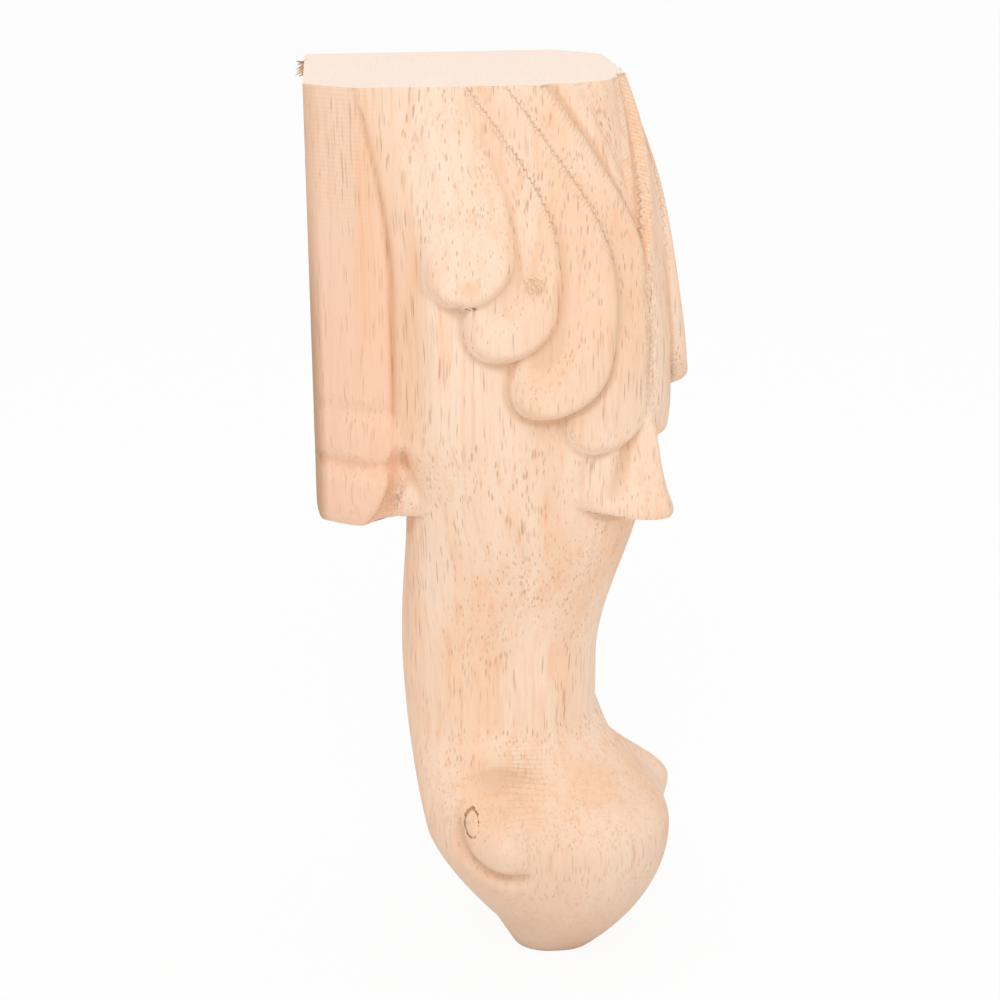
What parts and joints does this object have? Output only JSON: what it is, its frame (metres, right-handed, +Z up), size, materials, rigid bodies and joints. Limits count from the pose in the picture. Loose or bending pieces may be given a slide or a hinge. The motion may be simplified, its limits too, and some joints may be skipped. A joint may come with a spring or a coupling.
{
  "type": "carved furniture leg",
  "caption": "short carved wooden cabriole leg for a cabinet or sofa, with a fan of leaf lobes on its knee, flat inner faces and a scrolled foot",
  "frame": {"origin": "middle of the flat top's inner square, 27 mm from each flat inner face, on the top face", "axes": "+Z up along the leg, carved faces to -Y and +X, flat inner faces to +Y and -X"},
  "size_m": [0.0618, 0.0618, 0.15],
  "materials": {
    "wood": "bare sanded wood"
  },
  "bodies": {
    "root": {"carved_leg": "wood"}
  },
  "joints": []
}
